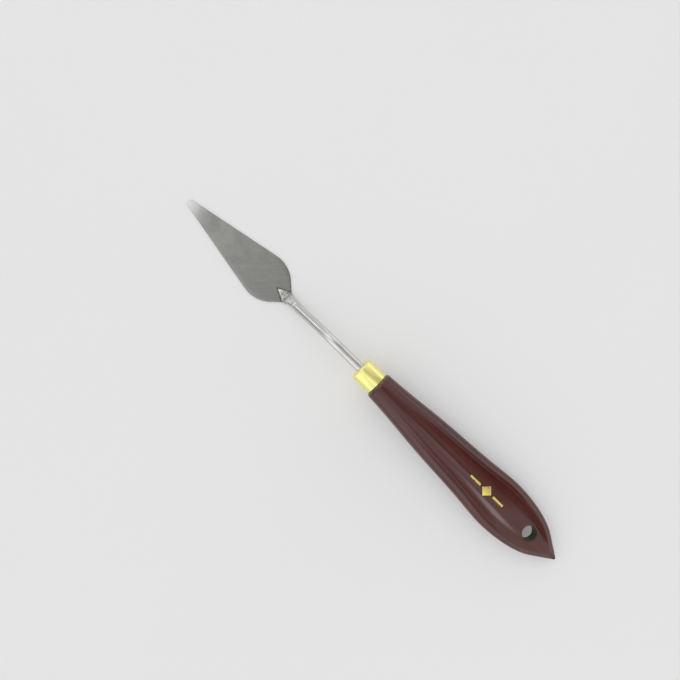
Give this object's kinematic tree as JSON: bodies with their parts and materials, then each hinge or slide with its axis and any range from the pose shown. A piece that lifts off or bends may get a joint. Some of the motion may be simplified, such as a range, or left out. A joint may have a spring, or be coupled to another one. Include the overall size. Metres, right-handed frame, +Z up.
{
  "type": "palette knife",
  "caption": "Painting knife: flat pear-shaped flexible steel blade on a cranked round shank, brass ferrule and lacquered wooden handle with a hang hole.",
  "frame": {"origin": "on the table under the middle of the knife's length, which is the bottom centre of its bounding box", "axes": "+X along the knife from the handle's tail to the blade's tip, +Z up from the blade's flat underside, +Y to the left of someone looking from the tail to the tip"},
  "size_m": [0.2068, 0.0224, 0.0151],
  "materials": {
    "blade_steel": "satin ground spring steel",
    "shank_steel": "polished steel rod",
    "weld_steel": "heat-tinted spot weld",
    "ferrule_brass": "bright drawn brass",
    "lacquered_wood": "glossy maroon lacquer over hardwood",
    "adhesive": "set adhesive",
    "gold_foil": "hot-stamped gold foil"
  },
  "bodies": {
    "handle_assembly": {"handle": "lacquered_wood", "ferrule": "ferrule_brass", "shank": "shank_steel", "tang_adhesive": "adhesive", "spot_weld_front": "weld_steel", "spot_weld_rear": "weld_steel", "foil_lozenge": "gold_foil", "foil_bar_front": "gold_foil", "foil_bar_rear": "gold_foil"},
    "blade": {"blade": "blade_steel"}
  },
  "joints": [
    {"name": "blade_flex", "type": "hinge", "parent": "handle_assembly", "child": "blade", "pos_m": [0.0525, 0, 0.0003], "axis": [0, -1, 0], "range_deg": [-20, 20], "stiffness_Nm_per_rad": 1.4, "deforming": ["blade"]}
  ]
}
